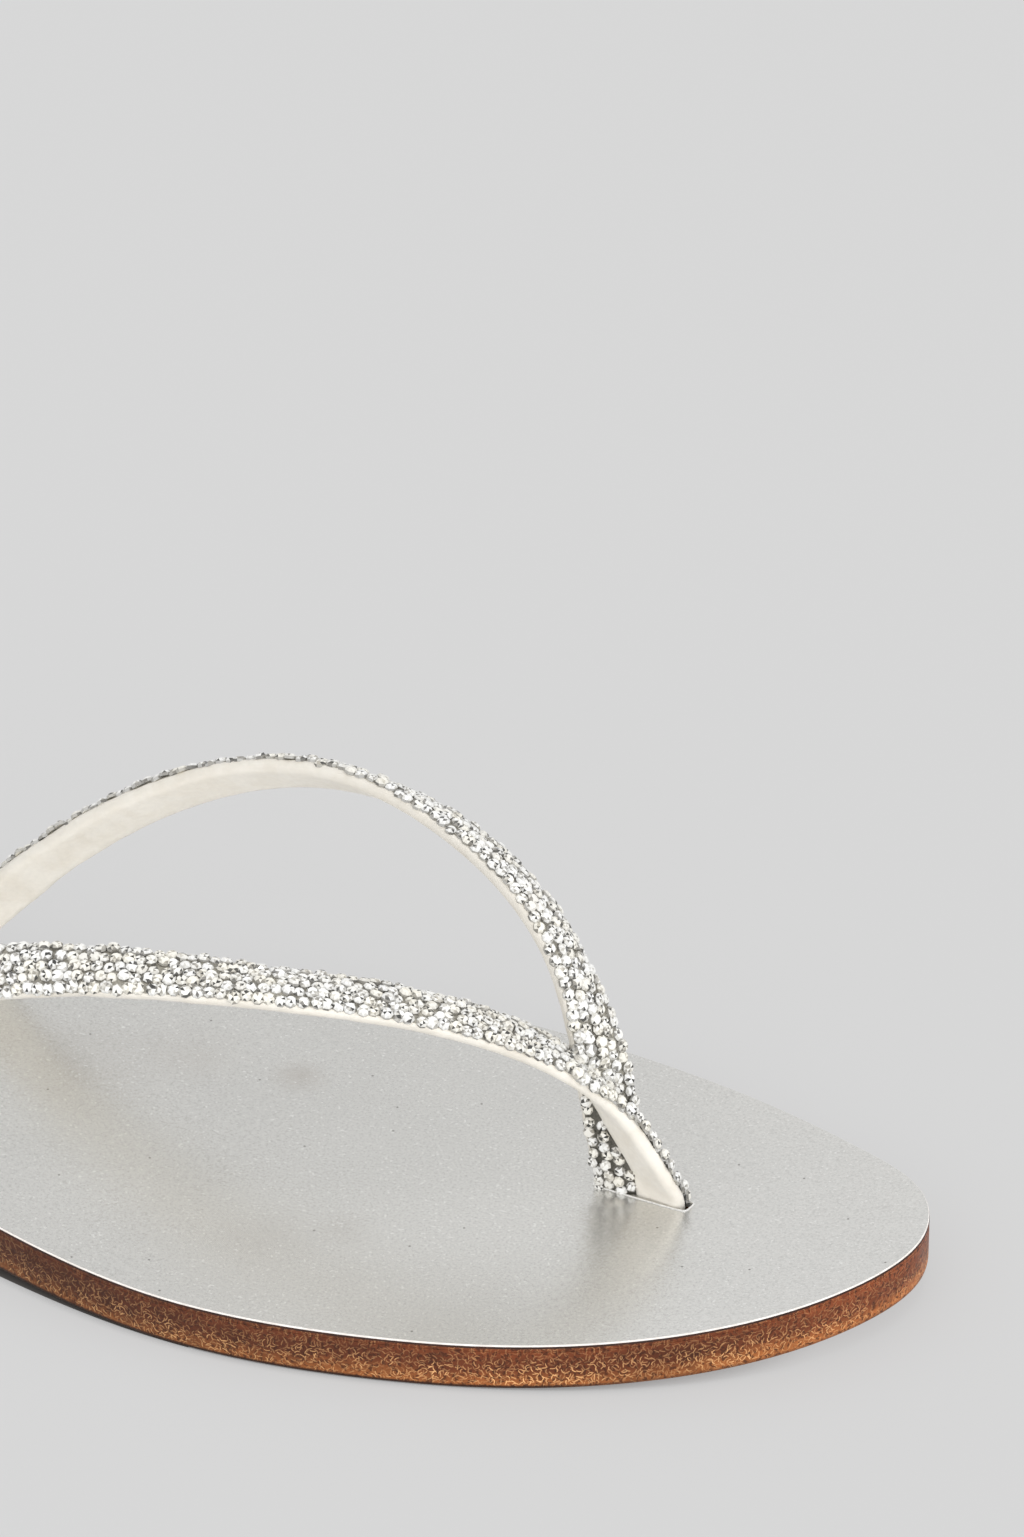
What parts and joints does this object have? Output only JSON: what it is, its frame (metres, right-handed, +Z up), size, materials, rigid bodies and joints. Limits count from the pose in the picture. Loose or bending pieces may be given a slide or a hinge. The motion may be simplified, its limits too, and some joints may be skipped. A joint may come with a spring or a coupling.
{
  "type": "thong sandal",
  "caption": "Flat open-toe thong sandal for the right foot: brown leather sole with a low heel, silver insole, and two stone-set straps that cross into a toe post.",
  "frame": {"origin": "on the floor, under the middle of the shoe's bounding box", "axes": "+X to the toe, +Y to the inner side of the foot, +Z up"},
  "size_m": [0.252, 0.089, 0.0602],
  "materials": {
    "sole_leather": "burnished brown edge, fibrous",
    "heel_leather": "stacked brown leather",
    "insole_leather": "fine metallic silver grain",
    "strap_leather": "smooth cream",
    "stones": "clear faceted stones, foil backed"
  },
  "bodies": {
    "root": {"sole": "sole_leather", "heel": "heel_leather", "insole": "insole_leather", "upper": "strap_leather", "stone_trim_lateral": "stones", "stone_trim_medial": "stones", "stone_trim_toe": "stones"}
  },
  "joints": []
}
